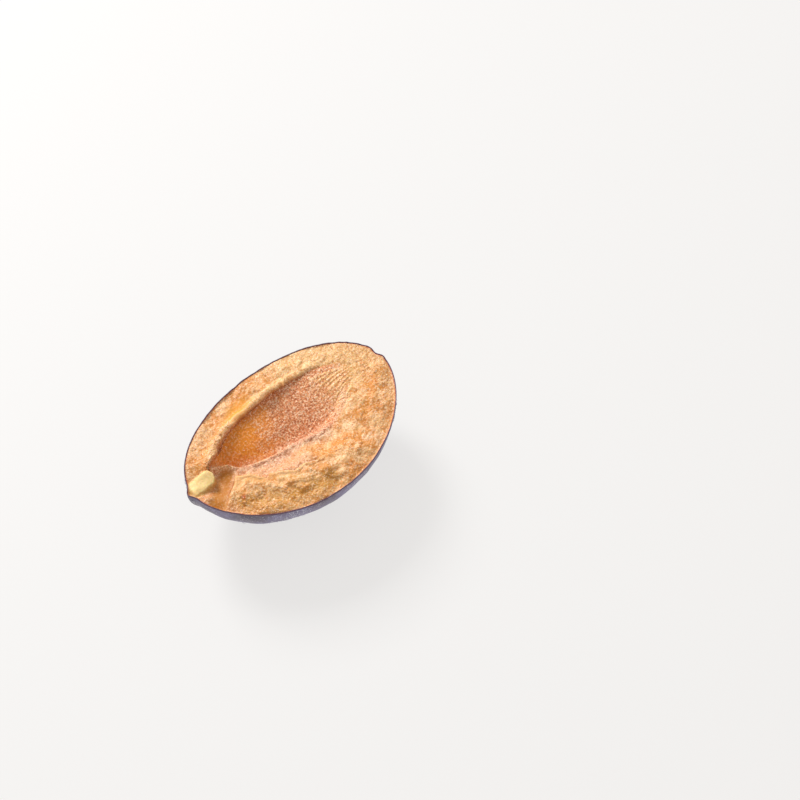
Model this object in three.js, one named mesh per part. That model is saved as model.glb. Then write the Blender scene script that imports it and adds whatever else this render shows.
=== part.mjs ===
// One half of a frozen prune plum, stoned, lying on its skin with the cut face up.
// Millimetres, +Z up. +X runs along the fruit to its stem end and -X to its tip. The origin is on the
// surface that the half lies on, under the middle of its outline.
// The half grew as one piece, so skin and flesh are one solid: a grid of rings that starts in the middle
// of the stone's hollow, crosses the cut flesh to the rim, and runs down the skin to the resting spot.
import * as THREE from "three";
import { ImprovedNoise } from "three/addons/math/ImprovedNoise.js";

const { clamp, degToRad, lerp, smoothstep } = THREE.MathUtils;

// Size of the half
const LENGTH = 46; // tip to stem end, on the cut face
const WIDTH = 29.3; // across the cut face at its widest
const DEPTH = 15; // cut face to the lowest skin, before the skin is flattened
const REST_FLAT = 0.4; // how much of the lowest skin is flattened where the half lies

// Outline of the cut face
const BOW = 1.8; // both ends lean this far towards +Y
const END_TAPER = 1.1; // 1 is an ellipse, and more draws its ends in
const TIP = { angle: degToRad(176), spread: degToRad(5), reach: 0.8 };
const STEM_DIMPLE = { angle: degToRad(6), spread: degToRad(5), reach: -0.7 };
const END_FADE = 4; // the larger, the sooner tip and dimple die out down the skin

// Skin
const SKIN_LUMPS = { height: 0.35, size: 9 };
const RIM_BLEND = 0.3; // share of the way down the skin that follows the rim's ups and downs

// Hollow that the stone left: an oval with its own half-width on each side, bowed like the fruit. Its floor
// falls from a sharp ledge at +Y to a crease at -Y, climbs to a ridge there, and runs out at the stem end.
const HOLLOW = { x: 0.4, y: 3.2, halfLength: 15, farWidth: 6.2, nearWidth: 4.5, bow: 1.3 };
const STEM_WIDENING = { width: 2.2, from: -2.3, to: 7.7 }; // the half-width at -Y grows towards the stem end
const STEM_RUN = { from: 0.05, to: 0.95 }; // part of the half-length over which the hollow runs out
const LEDGE = { facing: degToRad(108), full: degToRad(72), gone: degToRad(108), step: 0.95 };
const TIP_WALL = { step: 1.1, from: 0.55, to: 0.95 }; // the ledge is deeper at the tip
const FLOOR_SLOPE = 1.5;
const CREASE = { depth: 0.4, place: -0.5, spread: 0.5 };
const RIDGE = { level: 2, foot: 0.7 };
const ROUND_END = 0.06; // keeps the floor smooth at the ends of the oval

// Terrace behind the ridge and the torn lip beyond it, at -Y of the hollow
const TERRACE_END = 2.2;
const LIP_PATH = [
  [-20.3, -3.4],
  [-14.6, 0],
  [-12.4, -1.3],
  [-10.8, -3],
  [-7.7, -4.3],
  [-5.8, -6.1],
  [0.2, -6.9],
  [7.7, -9],
];
const LIP = { foot: -0.5, brow: 0.9, low: -0.2, rise: 0.5, back: 3.5 };
const LIP_ENDS = { tip: [-19.8, -17.3], stem: [-1.3, 4.7] };

// Relief of the torn flesh
const TORN = { height: 0.45, size: 3.2, calmAtRim: 0.6 };
const RIM_REACH = 0.7; // share of the way to the rim from which the larger forms die out
const RIM_ROLL = { angle: degToRad(-105), spread: degToRad(50), depth: 0.5, from: 0.4 }; // rim lower at -Y
const FAN = { angle: degToRad(4), spread: degToRad(34), middle: 0, reach: 0.4 }; // where fibres show
const FIBRES = { count: 24, height: 0.3 };
const NUB = { x: -19.8, y: 2.8, halfLength: 2.9, halfWidth: 1.9, height: 1.5, crown: 0.5, foot: 1.1 };
const VALLEY = { from: [-15.2, 1.7], to: [-21.6, -2.8], halfWidth: 1.9, floor: 0.4, depth: 0.6 };

// Grid of the surface
const SIDES = 112;
const HOLLOW_RINGS = 12;
const FLESH_RINGS = 11;
const SKIN_RINGS = 16;
const EDGE_CROWDING = 1.7; // rings of the hollow lie closer together towards its edge
const STATIONS = 1 + HOLLOW_RINGS + FLESH_RINGS + SKIN_RINGS;

const SKIN_COLOUR = 0x5a3f5e; // purple under its pale bloom
const SKIN_ROUGHNESS = 0.6;

const perlin = new ImprovedNoise();
const bump = (x) => Math.exp(-x * x);

// Smallest turn from one angle to another.
function turn(from, to) {
  return Math.atan2(Math.sin(to - from), Math.cos(to - from));
}

// Point of the outline at an angle, on a ring that lies `drop` radians down the skin from the rim.
function outlinePoint(angle, drop = 0) {
  const c = Math.cos(angle);
  const s = Math.sin(angle);
  const point = new THREE.Vector2(
    (LENGTH / 2) * c,
    (WIDTH / 2) * Math.sign(s) * Math.abs(s) ** END_TAPER + BOW * c * c,
  );
  const nearRim = Math.cos(drop) ** END_FADE;
  for (const end of [TIP, STEM_DIMPLE]) {
    const share = bump(turn(end.angle, angle) / end.spread) * nearRim;
    point.setLength(point.length() + end.reach * share);
  }
  return point.multiplyScalar(Math.cos(drop));
}

// Half-width of the hollow on one side of its middle line.
function hollowWidth(x, far) {
  if (far) return HOLLOW.farWidth;
  return HOLLOW.nearWidth + STEM_WIDENING.width * smoothstep(x, STEM_WIDENING.from, STEM_WIDENING.to);
}

// Point of the hollow at shares of its half-length and of its half-width.
function hollowPoint(along, across) {
  const x = HOLLOW.x + HOLLOW.halfLength * along;
  return new THREE.Vector2(x, HOLLOW.y + hollowWidth(x, across > 0) * across + HOLLOW.bow * along * along);
}

// Shares of the hollow's half-length and half-width at a point, also outside the hollow.
function sharesAt(x, y) {
  const along = (x - HOLLOW.x) / HOLLOW.halfLength;
  const side = y - HOLLOW.y - HOLLOW.bow * along * along;
  return new THREE.Vector2(along, side / hollowWidth(x, side > 0));
}

// How much of the hollow's depth is left at a share of its half-length.
function beforeStem(along) {
  return 1 - smoothstep(along, STEM_RUN.from, STEM_RUN.to);
}

// Depth of the hollow's floor.
function floorDepth(along, across) {
  const rank = clamp(across / Math.sqrt(Math.max(1 - along * along, ROUND_END)), -1, 1);
  const step = LEDGE.step + TIP_WALL.step * smoothstep(-along, TIP_WALL.from, TIP_WALL.to);
  const crease = CREASE.depth * bump((rank - CREASE.place) / CREASE.spread);
  const open = step + FLOOR_SLOPE * (1 - rank) + crease;
  return lerp(open, RIDGE.level, smoothstep(-rank, RIDGE.foot, 1)) * beforeStem(along);
}

// Height of a path of straight runs at x.
function pathAt(path, x) {
  const next = Math.max(1, path.findLastIndex((knot) => knot[0] <= x) + 1);
  const [fromX, fromY] = path[Math.min(next, path.length - 1) - 1];
  const [toX, toY] = path[Math.min(next, path.length - 1)];
  return lerp(fromY, toY, clamp((x - fromX) / (toX - fromX), 0, 1));
}

// Height of the flesh around the hollow: level beyond the ledge, and terrace and lip on the other side.
function groundHeight(x, y) {
  const shares = sharesAt(x, y);
  const ledge = 1 - smoothstep(Math.abs(turn(LEDGE.facing, shares.angle())), LEDGE.full, LEDGE.gone);
  const terrace = -RIDGE.level * (1 - smoothstep(shares.length(), 1, TERRACE_END)) * beforeStem(shares.x);
  const outside = pathAt(LIP_PATH, x) - y;
  const lipHere = smoothstep(x, ...LIP_ENDS.tip) * (1 - smoothstep(x, ...LIP_ENDS.stem));
  const lipTop = LIP.low + LIP.rise * smoothstep(outside, 0, LIP.back);
  return lerp(terrace, lipTop, smoothstep(outside, LIP.foot, LIP.brow) * lipHere) * (1 - ledge);
}

// Height of the pale flap of flesh at the tip, level on its crown and gone at its foot.
function nubHeight(x, y) {
  const distance = Math.hypot((x - NUB.x) / NUB.halfLength, (y - NUB.y) / NUB.halfWidth);
  return NUB.height * (1 - smoothstep(distance, NUB.crown, NUB.foot));
}

// Depth of the smooth valley that runs from the hollow to the rim beside the flap.
function valleyDepth(x, y) {
  const start = new THREE.Vector3(...VALLEY.from, 0);
  const end = new THREE.Vector3(...VALLEY.to, 0);
  const point = new THREE.Vector3(x, y, 0);
  const nearest = new THREE.Line3(start, end).closestPointToPoint(point, true, new THREE.Vector3());
  const distance = point.distanceTo(nearest) / VALLEY.halfWidth;
  return VALLEY.depth * (1 - smoothstep(distance, VALLEY.floor, 1));
}

// Height of the cut flesh, where share runs from 0 at the hollow's edge to 1 at the rim.
function fleshHeight(x, y, angle, share) {
  const calm = 1 - TORN.calmAtRim * share;
  const torn = TORN.height * perlin.noise(x / TORN.size, y / TORN.size, 0) * calm;
  const inFan = bump(turn(FAN.angle, angle) / FAN.spread) * bump((share - FAN.middle) / FAN.reach);
  const fibre = FIBRES.height * Math.cos(FIBRES.count * angle) * inFan;
  const roll = RIM_ROLL.depth * bump(turn(RIM_ROLL.angle, angle) / RIM_ROLL.spread);
  const inward = 1 - smoothstep(share, RIM_REACH, 1);
  const forms = nubHeight(x, y) + (groundHeight(x, y) - valleyDepth(x, y)) * inward;
  return torn + fibre + forms - roll * smoothstep(share, RIM_ROLL.from, 1);
}

// Point inside the hollow, where share runs from 0 in its middle to 1 just inside its edge.
function pointInHollow(angle, share) {
  const along = share * Math.cos(angle);
  const across = share * Math.sin(angle);
  const { x, y } = hollowPoint(along, across);
  return new THREE.Vector3(x, y, -floorDepth(along, across));
}

// Point on the cut flesh between the hollow's edge and the rim.
function pointOnFlesh(angle, share) {
  const { x, y } = hollowPoint(Math.cos(angle), Math.sin(angle)).lerp(outlinePoint(angle), share);
  return new THREE.Vector3(x, y, fleshHeight(x, y, angle, share));
}

// Point on the skin, where share runs from 0 at the rim to 1 at the edge of the resting spot.
function pointOnSkin(angle, share) {
  const drop = share * Math.asin(1 - REST_FLAT / DEPTH);
  const { x, y } = outlinePoint(angle, drop);
  const z = -DEPTH * Math.sin(drop);
  const lump = perlin.noise(x / SKIN_LUMPS.size, y / SKIN_LUMPS.size, z / SKIN_LUMPS.size);
  const swell = 1 + (SKIN_LUMPS.height * lump * Math.sin(2 * drop)) / (WIDTH / 2);
  return new THREE.Vector3(x * swell, y * swell, z);
}

// Point of the whole surface at a ring of the grid and an angle round it.
function surfacePoint(station, angle) {
  if (station < HOLLOW_RINGS) {
    return pointInHollow(angle, 1 - (1 - station / HOLLOW_RINGS) ** EDGE_CROWDING);
  }
  const onFlesh = station - HOLLOW_RINGS;
  if (onFlesh < FLESH_RINGS) return pointOnFlesh(angle, onFlesh / FLESH_RINGS);
  const onSkin = (onFlesh - FLESH_RINGS) / SKIN_RINGS;
  if (onSkin > 1) return new THREE.Vector3(0, 0, REST_FLAT - DEPTH);
  const point = pointOnSkin(angle, onSkin);
  point.z += pointOnFlesh(angle, 1).z * (1 - smoothstep(onSkin, 0, RIM_BLEND));
  return point;
}

// The closed grid of rings is a lathe, whose points then move to their places on the fruit. A lathe faces
// outwards when its profile runs upwards, so its first ring is the last one down the skin.
function plumGeometry() {
  const profile = [];
  for (let station = 0; station <= STATIONS; station++) {
    profile.push(new THREE.Vector2(Math.sin((Math.PI * station) / STATIONS), station));
  }
  const geometry = new THREE.LatheGeometry(profile, SIDES);
  const places = geometry.getAttribute("position");
  const grid = geometry.getAttribute("uv");
  for (let i = 0; i < places.count; i++) {
    const station = STATIONS - Math.round(grid.getY(i) * STATIONS);
    const side = Math.round(grid.getX(i) * SIDES) % SIDES;
    const { x, y, z } = surfacePoint(station, (side / SIDES) * 2 * Math.PI);
    places.setXYZ(i, x, y, z);
  }
  geometry.computeVertexNormals();
  return geometry;
}

const geometry = plumGeometry();
geometry.computeBoundingBox();
const { min, max } = geometry.boundingBox;

const plumHalf = new THREE.Mesh(
  geometry,
  new THREE.MeshStandardMaterial({ color: SKIN_COLOUR, roughness: SKIN_ROUGHNESS, metalness: 0 }),
);
plumHalf.name = "plum_half";
plumHalf.position.set(-(min.x + max.x) / 2, -(min.y + max.y) / 2, -min.z);

const plum = new THREE.Group();
plum.add(plumHalf);

export default plum;
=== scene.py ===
# %% [markdown]
# # A frozen plum half
# The object is one half of a prune plum: cut along its length, stoned and frozen hard. It lies on its
# skin with the cut face up. Blender adds what the solid can't hold: torn flesh, ice, bloom on the skin
# and colour. The solid is loaded first as a fixed frame, so that every new piece is made in place and
# at its real size.

# %% Load the frame
import math

import bpy
import numpy as np
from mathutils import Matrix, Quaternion, Vector, noise


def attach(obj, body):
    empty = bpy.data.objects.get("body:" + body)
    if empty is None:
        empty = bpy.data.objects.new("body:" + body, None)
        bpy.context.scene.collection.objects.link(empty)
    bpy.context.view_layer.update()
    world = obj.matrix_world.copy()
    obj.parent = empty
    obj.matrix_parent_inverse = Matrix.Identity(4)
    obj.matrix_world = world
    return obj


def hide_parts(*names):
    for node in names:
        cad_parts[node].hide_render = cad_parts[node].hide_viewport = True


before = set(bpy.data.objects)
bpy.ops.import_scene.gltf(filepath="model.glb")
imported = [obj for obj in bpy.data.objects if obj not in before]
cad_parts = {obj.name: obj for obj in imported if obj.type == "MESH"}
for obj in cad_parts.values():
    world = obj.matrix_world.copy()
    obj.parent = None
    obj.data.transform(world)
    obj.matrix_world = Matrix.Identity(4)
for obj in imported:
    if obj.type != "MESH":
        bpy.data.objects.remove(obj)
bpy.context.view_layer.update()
MM = 0.001

# %% [markdown]
# ## Outline of the cut face
# A plum's cut face is nearly an ellipse. This one leans a little to one side, ends in a small beak at
# the tip, and has a dimple where the stem sat. One function gives the outline at any angle, and further
# down the skin at any `drop`, so that flesh and skin meet all round. Lengths here are in millimetres,
# because they are easy to read.

# %% Outline
LENGTH, WIDTH, DEPTH = 46.0, 29.3, 15.0
REST_FLAT = 0.4
CUT_LEVEL = DEPTH - REST_FLAT
BOW = 1.8
END_TAPER = 1.1
END_FADE = 4
ENDS = [
    {"angle": math.radians(176), "spread": math.radians(5), "reach": 0.8},
    {"angle": math.radians(6), "spread": math.radians(5), "reach": -0.5},
]


def bell(x):
    return np.exp(-x * x)


def ease(x, low, high):
    share = np.clip((x - low) / (high - low), 0, 1)
    return share * share * (3 - 2 * share)


def turn(start, end):
    return np.arctan2(np.sin(end - start), np.cos(end - start))


def outline(angle, drop=0.0):
    c, s = np.cos(angle), np.sin(angle)
    x = LENGTH / 2 * c
    y = WIDTH / 2 * np.sign(s) * np.abs(s) ** END_TAPER + BOW * c * c
    reach = np.hypot(x, y)
    for end in ENDS:
        grow = end["reach"] * bell(turn(end["angle"], angle) / end["spread"]) * np.cos(drop) ** END_FADE
        x, y = x * (1 + grow / reach), y * (1 + grow / reach)
        reach = reach + grow
    return x * np.cos(drop), y * np.cos(drop)


all_round = np.linspace(0, 2 * math.pi, 720, endpoint=False)
rim_x, rim_y = outline(all_round)
X_SHIFT = -(rim_x.min() + rim_x.max()) / 2
print("cut face, mm:", round(np.ptp(rim_x), 2), "by", round(np.ptp(rim_y), 2))

# %% [markdown]
# ## Blank
# Skin and flesh both start as an oval sheet of even quads, like a sheet of clay before it is shaped. A
# sphere or a cylinder would bring poles, where thin triangles meet in a star. A circle that is filled
# with Grid Fill has none, and Subdivision Surface set to Simple only makes its quads finer.


# %% Oval blank
def oval_blank(name, long_side, short_side, levels):
    bpy.ops.object.select_all(action="DESELECT")
    bpy.ops.mesh.primitive_circle_add(vertices=2 * (long_side + short_side), radius=LENGTH / 2 * MM)
    sheet = bpy.context.object
    sheet.name = name
    bpy.ops.object.mode_set(mode="EDIT")
    bpy.ops.transform.resize(value=(1, WIDTH / LENGTH, 1), center_override=(0, 0, 0))
    bpy.ops.mesh.fill_grid(span=long_side, offset=short_side // 2)
    bpy.ops.object.mode_set(mode="OBJECT")
    finer = sheet.modifiers.new("finer", "SUBSURF")
    finer.subdivision_type = "SIMPLE"
    finer.levels = finer.render_levels = levels
    bpy.ops.object.modifier_apply(modifier="finer")
    return sheet


def get_points(piece):
    points = np.zeros(len(piece.data.vertices) * 3)
    piece.data.vertices.foreach_get("co", points)
    return points.reshape(-1, 3) / MM


def set_points(piece, points):
    piece.data.vertices.foreach_set("co", (points * MM).ravel())
    piece.data.update()


def get_normals(piece):
    normals = np.zeros(len(piece.data.vertices) * 3)
    piece.data.vertex_normals.foreach_get("vector", normals)
    return normals.reshape(-1, 3)


def keep_masks(piece, layers):
    for name, values in layers.items():
        layer = piece.data.attributes.new(name, "FLOAT", "POINT")
        layer.data.foreach_set("value", values.astype(np.float32))


def polar(points):
    across, up = points[:, 0] / (LENGTH / 2), points[:, 1] / (WIDTH / 2)
    return np.minimum(np.hypot(across, up), 1), np.arctan2(up, across)


def rough(x, y, z, size, octaves=3, shift=0.0):
    places = np.stack([x, y, z], axis=1) / size + shift
    return np.array([noise.fractal(place, 1.0, 2.0, octaves) for place in places.tolist()])


# %% [markdown]
# ## Skin
# The skin is a thin bowl. Each point of the blank slides down the fruit: the blank's edge becomes the
# rim, and its middle becomes the lowest point, which is pressed flat where the half lies. Solidify then
# gives the skin its thickness, so that its cut edge shows as a thin dark line round the flesh.

# %% Skin
SKIN_THICKNESS = 0.17
SKIN_LUMP, SKIN_LUMP_SIZE = 0.35, 9.0
SKIN_PUCKER, SKIN_PUCKER_SIZE = 0.05, 1.6
RIM_WAVE, RIM_WAVE_SIZE = 0.22, 2.2
RIM_ROLL = {"angle": math.radians(-105), "spread": math.radians(50), "depth": 0.5}


def rim_roll(angle):
    return RIM_ROLL["depth"] * bell(turn(RIM_ROLL["angle"], angle) / RIM_ROLL["spread"])


def rim_height(angle):
    x, y = outline(angle)
    return RIM_WAVE * rough(x, y, 0 * x, RIM_WAVE_SIZE, shift=3.7) - rim_roll(angle)


skin = oval_blank("plum_skin", 28, 20, 3)
inward, angle = polar(get_points(skin))
drop = (1 - inward) * math.pi / 2
x, y = outline(angle, drop)
z = -DEPTH * np.sin(drop)
lump = SKIN_LUMP * rough(x, y, z, SKIN_LUMP_SIZE) * np.sin(2 * drop)
pucker = SKIN_PUCKER * rough(x, y, z, SKIN_PUCKER_SIZE) * np.sin(2 * drop)
swell = 1 + (lump + pucker) / (WIDTH / 2)
z = np.maximum(z, REST_FLAT - DEPTH) + rim_height(angle) * (1 - ease(drop, 0, 0.3))
set_points(skin, np.stack([x * swell + X_SHIFT, y * swell, z + CUT_LEVEL], axis=1))
bpy.ops.object.mode_set(mode="EDIT")
bpy.ops.mesh.select_all(action="SELECT")
bpy.ops.mesh.flip_normals()
bpy.ops.object.mode_set(mode="OBJECT")
print("skin, mm:", round(np.ptp(z), 2), "deep")

# %% Wall of the skin
EDGE_DROP = 0.03
keep_masks(skin, {"cut_edge": 1 - ease(drop, 0, EDGE_DROP)})
skin_points, skin_normals = get_points(skin), get_normals(skin)
wall = skin.modifiers.new("wall", "SOLIDIFY")
wall.thickness = SKIN_THICKNESS * MM
wall.offset = -1
bpy.ops.object.modifier_apply(modifier="wall")
bpy.ops.object.shade_smooth()
print("skin faces:", len(skin.data.polygons))

# %% [markdown]
# ## Flesh
# The cut flesh is a height map over the blank: every point keeps its place on the oval and is raised or
# lowered. Displace or sculpting would do the same by hand; here each form of the fruit is a short
# formula, so that it can be named and changed. The stone left a bowl with a crisp ledge on its far
# side. Its floor falls from the ledge to a crease on the near side, the stem end runs out softly, and
# the other end is a narrow point.

# %% Flesh blank
FLESH_INSET = 0.6
flesh = oval_blank("plum_flesh", 38, 26, 3)
rimward, angle = polar(get_points(flesh))
rim_x, rim_y = outline(angle)
tuck = 1 - SKIN_THICKNESS * FLESH_INSET / np.hypot(rim_x, rim_y)
x = rim_x * rimward * tuck + X_SHIFT
y = rim_y * rimward * tuck
flat = np.zeros_like(x)
print("flesh points:", len(x))

# %% Bowl of the stone
BOWL = {"x": 0.7, "y": 3.2, "half": 15.0, "far": 6.2, "near": 4.5, "bow": 1.3}
STEM_WIDENING = 2.2
LEDGE_STEP, TIP_STEP, FLOOR_SLOPE, RIDGE_LEVEL = 0.8, 1.25, 1.5, 2.0
EDGE_WAVE, EDGE_WAVE_SIZE = 0.03, 2.6
LEDGE_FACING = {"middle": 108, "full": 72, "gone": 108}
TIP = {"from": -10.5, "to": -16.7, "y": 4.5, "wide": 3.0, "end_wide": 0.45}
TIP_SHALLOW = 0.7


def facing_share(facing, middle, full, gone):
    return 1 - ease(np.abs(turn(math.radians(middle), facing)), math.radians(full), math.radians(gone))


along = (x - BOWL["x"]) / BOWL["half"]
side = y - BOWL["y"] - BOWL["bow"] * along * along
near_width = BOWL["near"] + STEM_WIDENING * ease(x, -2, 8)
across = side / np.where(side > 0, BOWL["far"], near_width)
tip_done = np.clip((TIP["from"] - x) / (TIP["from"] - TIP["to"]), 0, 1)
tip_wide = TIP["wide"] + (TIP["end_wide"] - TIP["wide"]) * tip_done
tip_share = np.hypot((y - TIP["y"]) / tip_wide, np.maximum(TIP["to"] - x, 0) / TIP["end_wide"])
tip_share = np.where(x < TIP["from"], tip_share, np.inf)
edge_wave = EDGE_WAVE * rough(x, y, flat, EDGE_WAVE_SIZE, octaves=4, shift=9.1)
share = np.minimum(np.hypot(along, across), tip_share) + edge_wave
facing = np.arctan2(across, along)
ledge = facing_share(facing, **LEDGE_FACING)
before_stem = 1 - ease(along, 0.05, 0.95)

rank = np.clip(across / np.sqrt(np.maximum(1 - along**2, 0.06)), -1, 1)
near_wall = ease(-rank, 0.7, 1.0)
step = LEDGE_STEP + TIP_STEP * ease(-along, 0.55, 0.95)
floor_depth = step + FLOOR_SLOPE * (1 - rank) + 0.4 * bell((rank + 0.5) / 0.5)
floor_depth = (floor_depth * (1 - near_wall) + RIDGE_LEVEL * near_wall) * before_stem
floor_depth = floor_depth * (1 - TIP_SHALLOW * ease(tip_done, 0.25, 1.0))
crisp = ease(share, 0.995, 1.015)
in_bowl = 1 - ease(share, 0.95, 1.0 + 0.12 * (1 - ledge))
print("deepest of the bowl, mm:", round(floor_depth.max(), 2))

# %% [markdown]
# ## Torn lip and ridge
# On the near side the stone came away with some flesh. That left a frosted ridge, a low pink terrace
# behind it, and a torn lip of two blocks with a notch between them. Each follows a short path of points
# across the face.

# %% Lip and ridge
LIP = [
    (-20, -3.4), (-17.6, -2.1), (-15.7, -0.9), (-14.3, 0), (-13.5, -0.2),
    (-12.1, -1.3), (-10.5, -3), (-10.2, -3.6), (-9, -3.4), (-7.4, -4.3),
    (-5.5, -6.1), (-3.3, -6), (-1.3, -6.8), (0.5, -6.9), (8, -9),
]
RIDGE = [
    (-16.0, 3.7), (-13.8, 2.6), (-11.2, 1.8), (-8.8, 0.4), (-6.5, -0.5),
    (-4.8, -1), (-2, -1), (1.3, -2.1), (5, -3.1),
]
SADDLE = {"x": -15, "y": 1.8, "wide": 2.2}
EDGE_ROLL, RIDGE_HIGH, RIDGE_WIDE = 0.7, 0.22, 0.9


def path_y(knots):
    xs, ys = zip(*knots)
    return np.interp(x, xs, ys)


def distance_to(knots):
    nearest = np.full_like(x, np.inf)
    for (start_x, start_y), (end_x, end_y) in zip(knots, knots[1:]):
        run_x, run_y = end_x - start_x, end_y - start_y
        done = ((x - start_x) * run_x + (y - start_y) * run_y) / (run_x**2 + run_y**2)
        done = np.clip(done, 0, 1)
        nearest = np.minimum(nearest, np.hypot(x - start_x - done * run_x, y - start_y - done * run_y))
    return nearest


ragged = rough(x, y, flat, 1.5, octaves=4, shift=2.9)
outside = path_y(LIP) + 0.35 * ragged - y
lip_here = ease(x, -19.5, -17) * (1 - ease(x, -1, 5))
saddle = bell(np.hypot(x - SADDLE["x"], y - SADDLE["y"]) / SADDLE["wide"])
terrace = -RIDGE_LEVEL * (1 - ease(share, 1, 2.2)) * before_stem * (1 - 0.5 * saddle)
block_top = -0.2 + 0.5 * ease(outside, 0, 3.5) + 0.35 * bell((outside - 0.6) / 0.5)
over_lip = ease(outside, -0.05, 0.3) * lip_here
near_side = terrace * (1 - over_lip) + block_top * over_lip
notch = -0.5 * bell((x + 10.2 + 0.3 * (y + 3)) / 0.6) * ease(outside, 0, 0.6) * (1 - ease(outside, 2, 5))
off_ridge = distance_to(RIDGE) + 0.3 * ragged
ridge = RIDGE_HIGH * bell(off_ridge / RIDGE_WIDE)
ground = -floor_depth * (1 - crisp) + near_side * crisp * (1 - ledge)
edge_roll = EDGE_ROLL * ledge * bell((share - 1.08) / 0.07) * before_stem
print("ground, mm:", round(ground.min(), 2), "to", round(ground.max(), 2))

# %% [markdown]
# ## Flap, valley and fibres
# A pale flap stands up at the tip, where the stone was joined to the flesh, and a smooth valley runs
# past it to the rim. At the stem end the strands that fed the fruit lie side by side, so each is a line
# of its own here.

# %% Flap, valley and fibres
FLAP = {"x": -19.5, "y": 2.8, "turn": math.radians(-3), "half": 2.9, "wide": 1.95, "low": 0.6, "high": 1.9}
VALLEY = [(-15.2, 1.6), (-16.6, 0.2), (-17.8, -0.8), (-19.4, -1.9), (-21.3, -2.8)]
STRANDS = [
    ((9.2, 6.7), (14.6, 5.3)),
    ((10.2, 5.6), (16.4, 4.7)),
    ((9.8, 4.6), (17.6, 4.2)),
    ((11.2, 3.7), (18.2, 3.8)),
    ((10.4, 2.7), (17.9, 3.3)),
    ((11.6, 1.8), (16.6, 2.7)),
    ((10.2, 0.8), (15.2, 1.9)),
    ((9.8, -0.4), (13.4, 0.7)),
    ((12.2, -0.4), (15.0, 0.8)),
]
STRAND_WIDE, STRAND_HIGH, STRAND_END = 0.2, 0.09, 0.6

coarse = rough(x, y, flat, 3.8, octaves=3, shift=1.3)
dx, dy = x - FLAP["x"], y - FLAP["y"]
c, s = math.cos(FLAP["turn"]), math.sin(FLAP["turn"])
lengthwise, sideways = dx * c + dy * s, dy * c - dx * s + 0.25 * ragged
past_end = lengthwise - 2.6 + 0.35 * sideways**2 + 0.3 * np.maximum(-sideways, 0) + 0.25 * coarse
flap_in = (1 - ease(past_end, -0.55, 0.15)) * ease(lengthwise, -3.6, -2.4)
flap_in = flap_in * (1 - ease(np.abs(sideways), FLAP["wide"] - 0.75, FLAP["wide"] + 0.15))
flap_rise = ease(lengthwise, -FLAP["half"], FLAP["half"])
flap = flap_in * (FLAP["low"] + (FLAP["high"] - FLAP["low"]) * flap_rise - 0.2 * sideways**2)

valley_in = bell((distance_to(VALLEY) / 1.7) ** 2) * (1 - flap_in) * (1 - 0.7 * over_lip)
strand = np.zeros_like(x)
wander = 0.14 * rough(x / 4, y, flat, 1.2, shift=8.8)
for (start_x, start_y), (end_x, end_y) in STRANDS:
    done = np.clip((x - start_x) / (end_x - start_x), 0, 1)
    off_x = x - start_x - done * (end_x - start_x)
    off_y = y - start_y - done * (end_y - start_y) + wander
    off = np.hypot(off_y, STRAND_END * off_x)
    taper = ease(done, -0.1, 0.15) * (1 - ease(done, 0.6, 1.1))
    strand = np.maximum(strand, taper * bell(off / STRAND_WIDE))
fan = bell((x - 13.4) / 4) * bell((y - 2.9 - 0.05 * (x - 13)) / 3.2)
print("flap, mm:", round(flap.max(), 2), "high; strands:", len(STRANDS))

# %% [markdown]
# ## Torn grain
# Frozen flesh breaks in crumbs. Noise at three sizes gives them: soft swells, which turn into stepped
# blocks on the torn near side, then crumbs, and a fine grain all over. Beside the bowl the flesh was
# drawn out, so one more noise is stretched into streaks there.

# %% Torn grain
BLOCK_STEPS = 4
TORN_SOFT, TORN_BLOCKS = 0.65, 0.8
CRUMB_HIGH, GRAIN_HIGH, STREAK_HIGH = 0.15, 0.07, 0.12
stair = np.floor(coarse * BLOCK_STEPS)
blocks = (stair + ease(coarse * BLOCK_STEPS - stair, 0.45, 1)) / BLOCK_STEPS
near_part = ease(-y, 0, 6)
right_part = ease(x, -1, 8)
torn = TORN_SOFT * coarse * (1 - near_part) + TORN_BLOCKS * blocks * near_part
torn = torn * (1 - 0.4 * right_part) * (1 - in_bowl)
crumbs = CRUMB_HIGH * rough(x, y, flat, 1.1, octaves=3, shift=5.2) * (1 - 0.6 * in_bowl)
grain = GRAIN_HIGH * rough(x, y, flat, 0.45, octaves=2, shift=7.7)
drawn = bell((x - 2.5) / 5.5) * bell((y + 1.2) / 2.4)
streaks = STREAK_HIGH * drawn * rough(x / 6, y - 0.25 * x, flat, 0.5, octaves=2, shift=6.4)
print("torn flesh, mm:", round(torn.min(), 2), "to", round(torn.max(), 2))

# %% [markdown]
# ## All heights together
# The forms are laid on like clay: the ground first, then ridge, flap, valley and strands, and the torn
# grain last. The grain is held back where the flesh is nearly smooth: on a glassy patch by the ledge,
# in the valley, on the flap, on the faces of the blocks and among the strands. At the rim every height
# runs into the edge of the skin. Last, the ledge's edge leans a little over the bowl, and thin
# splinters of it lean further.

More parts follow.
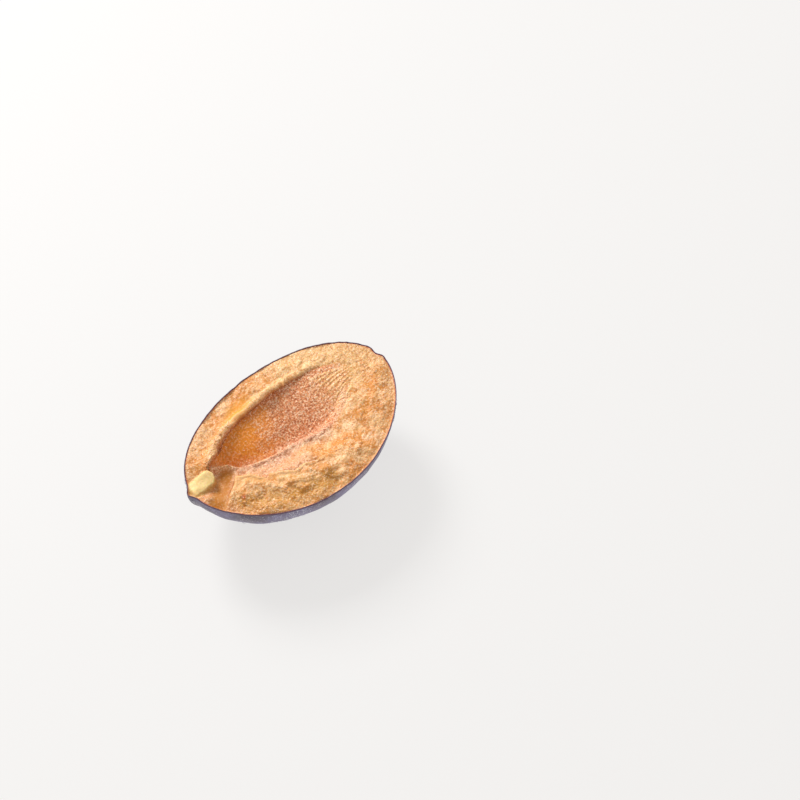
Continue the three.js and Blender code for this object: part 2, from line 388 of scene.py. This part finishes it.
# %% Put the heights together
SPLINTER_HIGH, SPLINTER_X = 2.2, 6
PATCH = {"x": -5.2, "y": 10.4, "turn": math.radians(12), "half": 3.9, "wide": 1.6}
dx, dy = x - PATCH["x"], y - PATCH["y"]
c, s = math.cos(PATCH["turn"]), math.sin(PATCH["turn"])
patch = bell(np.hypot((dx * c + dy * s) / PATCH["half"], (dy * c - dx * s) / PATCH["wide"]) ** 2)
first_block = ease(x, -16.4, -15.2) * (1 - ease(x, -10.9, -10.4))
second_block = ease(x, -9.9, -9.3) * (1 - ease(x, -6.5, -4.5))
block_face = over_lip * (1 - ease(outside, 1.6, 3.6)) * np.maximum(first_block, 0.7 * second_block)
still = np.clip(patch + valley_in + flap_in + 0.8 * block_face + 0.5 * fan, 0, 1)
near_rim = ease(rimward, 0.84, 1)
roll = 0.15 * near_rim**2 + (rim_roll(angle) + 0.25 * near_part) * ease(rimward, 0.6, 1)
z = ground + ridge + notch + edge_roll + flap - 0.6 * valley_in - 0.3 * patch - roll
z = z + STRAND_HIGH * strand - 0.04 * fan * (1 - strand)
z = z + (torn + crumbs) * (1 - 0.85 * still) * (1 - 0.5 * near_rim) + grain * (1 - 0.7 * still) + streaks
at_rim = ease(rimward, 0.97, 1)
z = z * (1 - at_rim) + (rim_height(angle) - 0.1) * at_rim
splinters = SPLINTER_HIGH * bell((x - SPLINTER_X) / 1.8) * np.clip(rough(x, flat, flat, 0.6, shift=3.3), 0, 1)
lean = (0.4 + splinters) * ledge * bell((share - 1.03) / 0.05) * before_stem
set_points(flesh, np.stack([x - lean * np.cos(facing), y - lean * np.sin(facing), z + CUT_LEVEL], axis=1))
print("flesh, mm:", round(z.min(), 2), "to", round(z.max(), 2), "from the cut")

# %% [markdown]
# ## Places that colours follow
# Colour changes where the flesh does, so the same formulas give masks from 0 to 1. A few of them place
# painted shade and painted highlights at the ledge, the lip and the flap. Each is kept on the mesh as an
# attribute, and the material reads it by name.

# %% Masks
STEM_BAND = [(9.8, -3.9), (12.8, -5.1), (15.5, -3.3), (18, -1.2), (21.1, -0.4)]
NEAR_BAND = [(0, -6.7), (2.6, -7.6), (4.7, -6.6), (8.6, -7.8)]
FAR_BAND = [(-18.2, 5.4), (-16.6, 6.6), (-14.5, 7.9), (-11, 9.5), (-8.5, 10.5)]
OLIVE_BAND = [(-17.6, -2.7), (-14.8, -6.6), (-11, -9.2), (-6.5, -11), (-1, -11.8)]
RED_SPOT = (-15.9, -4.3)
blotch = rough(x, y, flat, 2.6, octaves=3, shift=4.1)
clean_floor = in_bowl * (1 - ease(x + 0.5 * (4 - y) + 3.5 * blotch, -8, 2))
frost_line = bell(off_ridge / 0.9) * (1 - ease(x, 4, 9))
tip_frost = ledge * bell((share - 1.07) / 0.06) * (1 - ease(x, -9, -6))
masks = {
    "bowl": in_bowl * (1 - 0.6 * ease(x, 5, 12)),
    "clean_floor": clean_floor,
    # painted shade: the bowl just below the ledge is coloured darker, where the ledge shades it
    "shade_under_ledge": in_bowl * ledge * bell((share - 1) / 0.16) * ease(x, -9, -4),
    "frost": np.clip(in_bowl - 1.15 * clean_floor + 0.8 * frost_line + 0.7 * tip_frost, -0.4, 1),
    # frost and painted highlight: the ledge's rolled edge is coloured pale where light catches it, and frost
    # lies there too
    "ledge_frost_and_highlight": np.clip(tip_frost + ledge * bell((share - 1.06) / 0.05) * before_stem, 0, 1),
    "flap": flap_in,
    # painted shade: the flap's lower sloping side is coloured darker, as the side turned from the light
    "flap_side_shade": np.clip(4 * flap_in * (1 - flap_in), 0, 1) * (1 - ease(sideways, -0.5, 1.2)),
    "patch": patch * (1 - in_bowl),
    "valley": valley_in,
    "strand": strand,
    "fan": fan,
    "rimward": rimward,
    "olive": bell((distance_to(OLIVE_BAND) + 0.8 * blotch) / 2.2) * near_part,
    "terrace": (1 - in_bowl) * (1 - over_lip) * (1 - ledge) * (1 - ease(x, -5, 2)) * (1 - valley_in),
    "deep_orange": sum(bell(distance_to(band) / 1.1) for band in (STEM_BAND, NEAR_BAND, FAR_BAND)),
    # painted shade: a dark line in the crevice at the foot of the lip
    "lip_foot_shade": bell((outside + 0.05) / 0.22) * lip_here * (1 - ease(x, -3, 1)),
    "block_face": block_face,
    # painted highlight: a pale line along the top edge of the lip's blocks
    "lip_edge_highlight": bell((outside - 0.7) / 0.6) * lip_here * (1 - ease(x, -4, 0)),
    "ridge_frost": bell(off_ridge / 1.4) * (1 - ease(x, 4, 9)),
    # painted shadow: a dark crease at the foot of the ledge, inside the bowl
    "ledge_foot_shade": ledge * bell((share - 0.98) / 0.03) * before_stem,
    "stem_pale": ease(x, 0, 10) * ease(y, -1, 6) * (1 - in_bowl),
    "red_spot": bell(np.hypot(x - RED_SPOT[0], y - RED_SPOT[1]) / 0.4),
    "rim_shade": ease(rimward + 0.06 * blotch, 0.78, 1) * (1 - 0.5 * facing_share(angle, 110, 40, 80)),
    "still": still,
}
keep_masks(flesh, masks)
flesh_points, flesh_normals = get_points(flesh), get_normals(flesh)
print("masks:", len(masks))

# %% [markdown]
# ## Under side of the flesh
# The sheet becomes a solid body, because the flesh fills the skin. Its edge is extruded down in three
# smaller rings that stay inside the skin, and the last ring is closed with one face.

# %% Close the flesh below
RINGS = ((0.93, 4.5), (0.84, 3.5), (0.65, 3.5))
bpy.ops.object.select_all(action="DESELECT")
bpy.context.view_layer.objects.active = flesh
flesh.select_set(True)
bpy.ops.object.mode_set(mode="EDIT")
bpy.ops.mesh.select_all(action="SELECT")
bpy.ops.mesh.region_to_loop()
for scale, down in RINGS:
    bpy.ops.mesh.extrude_region_move(TRANSFORM_OT_translate={"value": (0, 0, -down * MM)})
    bpy.ops.transform.resize(value=(scale, scale, 1), center_override=(X_SHIFT * MM, 0, 0))
bpy.ops.transform.resize(value=(1, 1, 0))
bpy.ops.mesh.edge_face_add()
bpy.ops.mesh.select_all(action="SELECT")
bpy.ops.mesh.normals_make_consistent(inside=False)
bpy.ops.object.mode_set(mode="OBJECT")
bpy.ops.object.shade_smooth()
print("flesh faces:", len(flesh.data.polygons))

# %% [markdown]
# ## Ice
# Frost grew on the frozen half: grains on the cut flesh and on the skin, and thin needles on the skin.
# One grain and one needle are modelled and then copied many times into one mesh for each place. A
# particle system could scatter them too, but its copies would have to be made real afterwards. The
# random numbers start from a fixed seed, so every run places them alike.

# %% One grain and one needle
ICE_SEED = 7
NEEDLE_RINGS = ((0.2, 0.05, 1.6), (0.25, -0.06, 1.1), (0.25, 0.03, 0.9), (0.3, 0.12, 0.4))


def finish_seed(name):
    bpy.ops.mesh.select_all(action="SELECT")
    bpy.ops.mesh.normals_make_consistent(inside=False)
    bpy.ops.object.mode_set(mode="OBJECT")
    piece = bpy.context.object
    piece.name = name
    return piece


def ice_grain():
    bpy.ops.object.select_all(action="DESELECT")
    bpy.ops.mesh.primitive_ico_sphere_add(subdivisions=1, radius=MM)
    bpy.ops.object.mode_set(mode="EDIT")
    bpy.ops.transform.resize(value=(1.2, 0.9, 0.8), center_override=(0, 0, 0))
    bpy.ops.transform.vertex_random(offset=0.25 * MM, uniform=1.0, seed=ICE_SEED)
    return finish_seed("ice_grain")


def ice_needle():
    bpy.ops.object.select_all(action="DESELECT")
    bpy.ops.mesh.primitive_circle_add(vertices=5, radius=0.03 * MM, fill_type="NGON")
    bpy.ops.object.mode_set(mode="EDIT")
    bpy.ops.mesh.select_all(action="SELECT")
    height, shift = 0.0, 0.0
    for rise, drift, width in NEEDLE_RINGS:
        height, shift = height + rise, shift + drift
        bpy.ops.mesh.extrude_region_move(TRANSFORM_OT_translate={"value": (drift * MM, 0, rise * MM)})
        middle = (shift * MM, 0, height * MM)
        bpy.ops.transform.resize(value=(width, width, 1), center_override=middle)
    return finish_seed("ice_needle")


grain_seed, needle_seed = ice_grain(), ice_needle()
print("grain and needle faces:", len(grain_seed.data.polygons), len(needle_seed.data.polygons))


# %% Copy a seed over a surface
def unit(vectors):
    return vectors / np.linalg.norm(vectors, axis=1, keepdims=True)


def scatter(name, seed_piece, places, ups, sizes, draw):
    shape = get_points(seed_piece)
    corners = [list(face.vertices) for face in seed_piece.data.polygons]
    aside = unit(np.cross(ups, unit(draw.normal(size=ups.shape))))
    third = np.cross(ups, aside)
    turned = np.stack([aside, third, ups], axis=1)
    points = places[:, None, :] + sizes[:, None, None] * np.einsum("pi,cij->cpj", shape, turned)
    faces = []
    for copy in range(len(places)):
        first = copy * len(shape)
        faces.extend([[first + corner for corner in face] for face in corners])
    mesh = bpy.data.meshes.new(name)
    mesh.from_pydata((points.reshape(-1, 3) * MM).tolist(), [], faces)
    piece = bpy.data.objects.new(name, mesh)
    bpy.context.scene.collection.objects.link(piece)
    print(name, "copies:", len(places), "faces:", len(faces))
    return piece


# %% Grains on the cut flesh
GRAINS, GRAIN_TILT = 4600, 0.5
GRAIN_SIZE, GRAIN_SPREAD, GRAIN_LIMITS = 0.062, 0.35, (0.035, 0.15)
draw = np.random.default_rng(ICE_SEED)
chance = 0.3 + 0.9 * masks["frost"] + 0.8 * masks["ledge_frost_and_highlight"] - 0.5 * still
chance = np.clip(chance, 0.01, None) * (rimward < 0.985)
chosen = draw.choice(len(x), size=GRAINS, replace=False, p=chance / chance.sum())
tilted = unit(flesh_normals[chosen] + GRAIN_TILT * draw.normal(size=(GRAINS, 3)))
sizes = np.clip(GRAIN_SIZE * np.exp(GRAIN_SPREAD * draw.normal(size=GRAINS)), *GRAIN_LIMITS)
flesh_ice = scatter("flesh_ice", grain_seed, flesh_points[chosen], tilted, sizes, draw)

# %% Needles and grains on the skin
CLUSTERS, NEEDLES, SKIN_GRAINS = 16, 260, 900
LOWEST, BELOW_RIM = 2.5, 0.8
NEEDLE_CLUSTER, GRAIN_CLUSTER = 2.2, 3.5
NEEDLE_LENGTHS, NEEDLE_LEAN = (0.4, 1.05), (0.05, 0.25)
SKIN_GRAIN_SIZE, SKIN_GRAIN_SPREAD, SKIN_GRAIN_LIMITS = 0.06, 0.4, (0.03, 0.16)
free = np.flatnonzero((skin_points[:, 2] > LOWEST) & (skin_points[:, 2] < CUT_LEVEL - BELOW_RIM))
centres = skin_points[draw.choice(free, size=CLUSTERS, replace=False)]
gaps = np.linalg.norm(skin_points[free][:, None, :] - centres[None, :, :], axis=2).min(axis=1)
chance = bell(gaps / NEEDLE_CLUSTER) + 0.03
chosen = draw.choice(free, size=NEEDLES, replace=False, p=chance / chance.sum())
lying = unit(np.cross(skin_normals[chosen], draw.normal(size=(NEEDLES, 3))))
leaning = unit(lying + draw.uniform(*NEEDLE_LEAN, size=(NEEDLES, 1)) * skin_normals[chosen])
sizes = draw.uniform(*NEEDLE_LENGTHS, size=NEEDLES)
skin_needles = scatter("skin_needles", needle_seed, skin_points[chosen], leaning, sizes, draw)
chance = bell(gaps / GRAIN_CLUSTER) + 0.15
chosen = draw.choice(free, size=SKIN_GRAINS, replace=False, p=chance / chance.sum())
tilted = unit(skin_normals[chosen] + GRAIN_TILT * draw.normal(size=(SKIN_GRAINS, 3)))
sizes = SKIN_GRAIN_SIZE * np.exp(SKIN_GRAIN_SPREAD * draw.normal(size=SKIN_GRAINS))
sizes = np.clip(sizes, *SKIN_GRAIN_LIMITS)
skin_ice = scatter("skin_ice", grain_seed, skin_points[chosen], tilted, sizes, draw)
for seed_piece in (grain_seed, needle_seed):
    bpy.data.objects.remove(seed_piece)

# %% [markdown]
# ## Helpers for materials
# Materials are node trees on Object coordinates, which are the real metres of the piece. A few short
# functions place the nodes, so that a finish below reads as a list of layers from the lowest to the
# topmost.


# %% Node helpers
def rgb(red, green, blue):
    def linear(value):
        value = value / 255
        return value / 12.92 if value <= 0.04045 else ((value + 0.055) / 1.055) ** 2.4

    return linear(red), linear(green), linear(blue), 1.0


def node(tree, kind, **values):
    made = tree.nodes.new(kind)
    for name, value in values.items():
        if name in made.inputs:
            made.inputs[name].default_value = value
        else:
            setattr(made, name, value)
    return made


def feed(tree, socket, value):
    if hasattr(value, "is_output"):
        tree.links.new(value, socket)
    else:
        socket.default_value = value


def blend(tree, factor, under, over):
    mix = node(tree, "ShaderNodeMix", data_type="RGBA")
    feed(tree, mix.inputs["Factor"], factor)
    feed(tree, mix.inputs[6], under)
    feed(tree, mix.inputs[7], over)
    return mix.outputs[2]


def combine(tree, operation, first, second):
    made = node(tree, "ShaderNodeMath", operation=operation)
    feed(tree, made.inputs[0], first)
    feed(tree, made.inputs[1], second)
    return made.outputs["Value"]


def mask(tree, name):
    return node(tree, "ShaderNodeAttribute", attribute_name=name).outputs["Fac"]


def spread(tree, value, low, high, bottom=0.0, top=1.0):
    remap = node(tree, "ShaderNodeMapRange", interpolation_type="SMOOTHSTEP")
    feed(tree, remap.inputs["Value"], value)
    for name, limit in (("From Min", low), ("From Max", high), ("To Min", bottom), ("To Max", top)):
        remap.inputs[name].default_value = limit
    return remap.outputs["Result"]


def speckle(tree, place, size, detail=2.0):
    texture = node(tree, "ShaderNodeTexNoise", Scale=1 / (size * MM), Detail=detail)
    feed(tree, texture.inputs["Vector"], place)
    return texture.outputs["Fac"]


def new_material(name):
    material = bpy.data.materials.new(name)
    material.use_nodes = True
    tree = material.node_tree
    tree.nodes.clear()
    output = node(tree, "ShaderNodeOutputMaterial")
    shader = node(tree, "ShaderNodeBsdfPrincipled")
    feed(tree, output.inputs["Surface"], shader.outputs["BSDF"])
    place = node(tree, "ShaderNodeTexCoord").outputs["Object"]
    return material, tree, shader, place


# %% [markdown]
# ## Frost group
# Fine frost shows on the flesh and on the skin, so it is one node group: white specks, pits between them
# where the height dips, and a height for a Bump node. The materials colour the pits darker, as painted shade
# in the dents. Cover says how much of the surface is frosted.

# %% Frost group
frost_group = bpy.data.node_groups.new("frost", "ShaderNodeTree")
SOCKETS = {"INPUT": ("Grain", "Cover"), "OUTPUT": ("Specks", "Pit shade", "Height")}
frost_group.interface.new_socket(name="Place", in_out="INPUT", socket_type="NodeSocketVector")
for direction, names in SOCKETS.items():
    for name in names:
        frost_group.interface.new_socket(name=name, in_out=direction, socket_type="NodeSocketFloat")
given = node(frost_group, "NodeGroupInput").outputs
wanted = node(frost_group, "NodeGroupOutput").inputs
texture = node(frost_group, "ShaderNodeTexNoise", Detail=2.0)
feed(frost_group, texture.inputs["Vector"], given["Place"])
feed(frost_group, texture.inputs["Scale"], combine(frost_group, "DIVIDE", 1 / MM, given["Grain"]))
level = texture.outputs["Fac"]
specks = combine(frost_group, "MULTIPLY", spread(frost_group, level, 0.52, 0.64), given["Cover"])
feed(frost_group, wanted["Specks"], specks)
feed(frost_group, wanted["Pit shade"], spread(frost_group, level, 0.49, 0.36))
raised = combine(frost_group, "MULTIPLY", specks, 0.5)
feed(frost_group, wanted["Height"], combine(frost_group, "ADD", level, raised))
print("frost group sockets:", len(frost_group.interface.items_tree))


def frost(tree, place, grain, cover):
    made = node(tree, "ShaderNodeGroup", node_tree=frost_group)
    feed(tree, made.inputs["Place"], place)
    made.inputs["Grain"].default_value = grain
    feed(tree, made.inputs["Cover"], cover)
    return made.outputs["Specks"], made.outputs["Pit shade"], made.outputs["Height"]


# %% [markdown]
# ## Flesh finish
# The flesh runs from pale peach to deep orange, with ochre on the clean floor of the bowl and olive near the
# skin. Each mask lays one colour over the last, and frost comes on top. Some layers are painted light:
# painted shade below the ledge, at its foot, at the lip's foot, on the flap's lower side and in the pits of
# the grain, and painted highlights along the edges of the ledge and the lip. Subsurface scattering lets a
# little light through, as in any wet fruit.

# %% Flesh finish
material, tree, shader, place = new_material("frozen_flesh")
amber = spread(tree, speckle(tree, place, 3.2), 0.42, 0.58)
colour = blend(tree, amber, rgb(228, 180, 124), rgb(212, 142, 70))
ochre = spread(tree, speckle(tree, place, 2.2, 3.0), 0.54, 0.66, top=0.7)
colour = blend(tree, ochre, colour, rgb(192, 122, 38))
cream = spread(tree, speckle(tree, place, 1.9, 3.0), 0.47, 0.36, top=0.8)
colour = blend(tree, cream, colour, rgb(244, 202, 154))
LAYERS = [
    ("stem_pale", 0.7, rgb(230, 192, 134)),
    ("olive", 0.75, rgb(196, 140, 48)),
    ("deep_orange", 0.75, rgb(216, 140, 50)),
    ("terrace", 0.75, rgb(212, 154, 116)),
    ("fan", 0.5, rgb(222, 164, 82)),
    ("rim_shade", 0.45, rgb(204, 146, 82)),
    ("bowl", 1.0, rgb(221, 142, 93)),
    ("clean_floor", 1.0, rgb(230, 139, 28)),
    # painted shade below the ledge
    ("shade_under_ledge", 0.6, rgb(206, 104, 36)),
    ("ridge_frost", 0.65, rgb(208, 170, 146)),
    ("valley", 1.0, rgb(182, 112, 18)),
    ("patch", 0.95, rgb(224, 148, 40)),
    # painted highlight and frost along the ledge's edge
    ("ledge_frost_and_highlight", 0.6, rgb(244, 194, 130)),
    ("strand", 0.65, rgb(242, 206, 136)),
    ("flap", 1.0, rgb(240, 208, 140)),
    # painted shade on the flap's lower side
    ("flap_side_shade", 0.8, rgb(196, 148, 70)),
    ("block_face", 0.6, rgb(226, 166, 96)),
    # painted highlight on the lip's edge
    ("lip_edge_highlight", 0.4, rgb(244, 200, 144)),
    # painted shade at the lip's foot
    ("lip_foot_shade", 0.75, rgb(160, 88, 54)),
    # painted shadow at the ledge's foot
    ("ledge_foot_shade", 0.85, rgb(150, 68, 26)),
    ("red_spot", 0.8, rgb(214, 84, 50)),
]
for name, strength, tone in LAYERS:
    colour = blend(tree, combine(tree, "MULTIPLY", mask(tree, name), strength), colour, tone)
colour = blend(tree, spread(tree, mask(tree, "rimward"), 0.982, 0.997), colour, rgb(180, 84, 68))
cover = spread(tree, mask(tree, "frost"), -1.2, 1.0, top=0.9)
calm = spread(tree, mask(tree, "still"), 0.0, 1.0, bottom=1.0, top=0.35)
specks, pit_shade, height = frost(tree, place, 0.36, combine(tree, "MULTIPLY", cover, calm))
# Painted shade: the pits, where the frost height dips, are coloured darker orange, and darker still where
# frost lies.
pit_shade = combine(tree, "MULTIPLY", pit_shade, spread(tree, mask(tree, "still"), 0.0, 1.0, bottom=0.58, top=0.12))
colour = blend(tree, pit_shade, colour, rgb(192, 112, 52))
dark_pit_shade = combine(tree, "MULTIPLY", combine(tree, "MULTIPLY", pit_shade, mask(tree, "frost")), 1.1)
colour = blend(tree, dark_pit_shade, colour, rgb(156, 84, 56))
colour = blend(tree, specks, colour, rgb(246, 206, 170))
feed(tree, shader.inputs["Base Color"], colour)
feed(tree, shader.inputs["Roughness"], spread(tree, specks, 0.0, 1.0, bottom=0.52, top=0.34))
shader.inputs["Specular IOR Level"].default_value = 0.35
shader.inputs["Subsurface Weight"].default_value = 0.2
shader.inputs["Subsurface Radius"].default_value = (1.0, 0.45, 0.2)
shader.inputs["Subsurface Scale"].default_value = 0.7 * MM
bump = node(tree, "ShaderNodeBump", Strength=0.6, Distance=0.1 * MM)
feed(tree, bump.inputs["Height"], height)
feed(tree, shader.inputs["Normal"], bump.outputs["Normal"])
flesh.data.materials.append(material)
print("flesh colour layers:", len(LAYERS))

# %% [markdown]
# ## Skin finish
# A plum's skin is purple-black under a dusty, lilac bloom of wax. The bloom lies thick in some places
# and is rubbed off in others, so it is a mix of large patches, fine mottle and small rubbed marks. Pale
# dots are the skin's pores. A dull roughness and a little sheen make the wax look like dust and not
# like paint.

# %% Skin finish
material, tree, shader, place = new_material("bloomed_skin")
reddish = spread(tree, speckle(tree, place, 8.0), 0.35, 0.65)
colour = blend(tree, reddish, rgb(44, 26, 42), rgb(70, 34, 56))
patches = spread(tree, speckle(tree, place, 7.0, 4.0), 0.36, 0.62, bottom=0.18)
mottle = spread(tree, speckle(tree, place, 0.9, 3.0), 0.3, 0.6, bottom=0.6)
rubbed = spread(tree, speckle(tree, place, 2.6, 5.0), 0.58, 0.68, bottom=1.0, top=0.35)
bloom = combine(tree, "MULTIPLY", combine(tree, "MULTIPLY", patches, mottle), rubbed)
colour = blend(tree, bloom, colour, rgb(140, 132, 162))
pores = node(tree, "ShaderNodeTexVoronoi", Scale=1 / (1.5 * MM))
feed(tree, pores.inputs["Vector"], place)
dots = spread(tree, pores.outputs["Distance"], 0.05, 0.11, bottom=0.6, top=0.0)
colour = blend(tree, dots, colour, rgb(186, 170, 166))
frosted = spread(tree, speckle(tree, place, 4.0), 0.5, 0.7, bottom=0.04, top=0.5)
specks, pit_shade, height = frost(tree, place, 0.3, frosted)
# Painted shade: the pits of the frost are coloured a little darker.
colour = blend(tree, combine(tree, "MULTIPLY", pit_shade, 0.18), colour, rgb(40, 24, 38))
colour = blend(tree, specks, colour, rgb(226, 224, 234))
colour = blend(tree, mask(tree, "cut_edge"), colour, rgb(84, 54, 72))
feed(tree, shader.inputs["Base Color"], colour)
feed(tree, shader.inputs["Roughness"], spread(tree, bloom, 0.1, 0.8, bottom=0.36, top=0.62))
shader.inputs["Sheen Weight"].default_value = 0.12
shader.inputs["Sheen Roughness"].default_value = 0.5
shader.inputs["Sheen Tint"].default_value = rgb(214, 206, 226)
bump = node(tree, "ShaderNodeBump", Strength=0.35, Distance=0.05 * MM)
feed(tree, bump.inputs["Height"], height)
feed(tree, shader.inputs["Normal"], bump.outputs["Normal"])
skin.data.materials.append(material)
print("skin nodes:", len(tree.nodes))

# %% [markdown]
# ## Ice finish
# Small ice is white because it is full of air. Grains on the flesh take on some of its warm colour, and
# the ice on the skin stays a cold white.


# %% Ice finish
def ice_material(name, dull, bright):
    material, tree, shader, place = new_material(name)
    colour = blend(tree, spread(tree, speckle(tree, place, 0.5), 0.35, 0.65), dull, bright)
    feed(tree, shader.inputs["Base Color"], colour)
    shader.inputs["Roughness"].default_value = 0.25
    shader.inputs["IOR"].default_value = 1.31
    return material


warm_ice = ice_material("ice_on_flesh", rgb(240, 188, 142), rgb(250, 220, 190))
cold_ice = ice_material("ice_on_skin", rgb(196, 194, 206), rgb(246, 247, 252))
flesh_ice.data.materials.append(warm_ice)
skin_ice.data.materials.append(cold_ice)
skin_needles.data.materials.append(cold_ice)
print("ice finishes:", warm_ice.name, "and", cold_ice.name)

# %% [markdown]
# ## Ride
# The half has no moving parts. Every piece rides on its one body and stands for the solid, which is hidden.

# %% Ride
pieces = (skin, flesh, flesh_ice, skin_ice, skin_needles)
for piece in pieces:
    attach(piece, "root")
    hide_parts("plum_half")
print("pieces on the root:", [piece.name for piece in pieces])

# %% [markdown]
# ## Floor and light
# The half lies on a pale table. One large softbox rakes across the cut face from behind, so that ledge
# and torn grain throw small shadows, and a bright surround fills them. The table glows a little, as
# white paper over a light does, which keeps the shadow on it soft.

# %% Floor
FLOOR_SIZE = 3.0
WARM_WHITE = (1, 0.985, 0.97, 1)
TABLE_TONE, TABLE_GLOW, TABLE_ROUGHNESS = (0.15, 0.147, 0.144, 1), 0.7, 0.7
bpy.ops.object.select_all(action="DESELECT")
bpy.ops.mesh.primitive_plane_add(size=FLOOR_SIZE)
floor = bpy.context.object
floor.name = "floor"
material, tree, shader, place = new_material("pale_table")
shader.inputs["Base Color"].default_value = TABLE_TONE
shader.inputs["Emission Color"].default_value = WARM_WHITE
shader.inputs["Emission Strength"].default_value = TABLE_GLOW
shader.inputs["Roughness"].default_value = TABLE_ROUGHNESS
floor.data.materials.append(material)
print("floor, m:", FLOOR_SIZE)

# %% Light
SURROUND = 0.58
KEY = {"place": (0.06, 0.47, 0.38), "size": 0.22, "power": 4.1}
AIM = Vector((0, 0, 0.012))
world = bpy.data.worlds.new("studio")
world.use_nodes = True
world.node_tree.nodes["Background"].inputs["Color"].default_value = WARM_WHITE
world.node_tree.nodes["Background"].inputs["Strength"].default_value = SURROUND
bpy.context.scene.world = world
bpy.context.scene.view_settings.view_transform = "Standard"
bpy.ops.object.light_add(type="AREA", location=KEY["place"])
key = bpy.context.object
key.name = "key"
key.data.size = KEY["size"]
key.data.energy = KEY["power"]
key.rotation_mode = "QUATERNION"
key.rotation_quaternion = (AIM - key.location).to_track_quat("-Z", "Y")
print("key light, m:", [round(value, 2) for value in key.location])

# %% [markdown]
# ## Camera
# The camera looks down on the cut face through a long lens, which hardly distorts it. Its distance
# follows from the scale that the face has in the picture, in pixels per millimetre. Two small turns, a
# pan and a tilt, then move the face's centre from the middle of the picture to its place.

# %% Camera
AZIMUTH, ELEVATION = math.radians(-41), math.radians(60)
LENS, SENSOR, FRAME_PIXELS = 100.0, 36.0, 800
PIXELS_PER_MM = 5.42
FACE_PIXEL = (294.6, 428.7)
face_centre = Vector((0.34, 0.44, CUT_LEVEL)) * MM
focal_pixels = FRAME_PIXELS * LENS / SENSOR
out = math.cos(ELEVATION)
back = Vector((math.sin(AZIMUTH) * out, -math.cos(AZIMUTH) * out, math.sin(ELEVATION)))
bpy.ops.object.camera_add(location=face_centre + back * (focal_pixels / PIXELS_PER_MM * MM))
camera = bpy.context.object
camera.data.lens = LENS
camera.data.sensor_width = SENSOR
camera.data.clip_start = 0.01
camera.rotation_mode = "QUATERNION"
pan = Quaternion((0, 1, 0), -math.atan((FRAME_PIXELS / 2 - FACE_PIXEL[0]) / focal_pixels))
tilt = Quaternion((1, 0, 0), math.atan((FACE_PIXEL[1] - FRAME_PIXELS / 2) / focal_pixels))
camera.rotation_quaternion = (-back).to_track_quat("-Z", "Y") @ pan @ tilt
bpy.context.scene.camera = camera
print("camera, m:", [round(value, 3) for value in camera.location])

# %% [markdown]
# ## Finish
# At the end the view layer is brought up to date.

# %% Finish
bpy.context.view_layer.update()
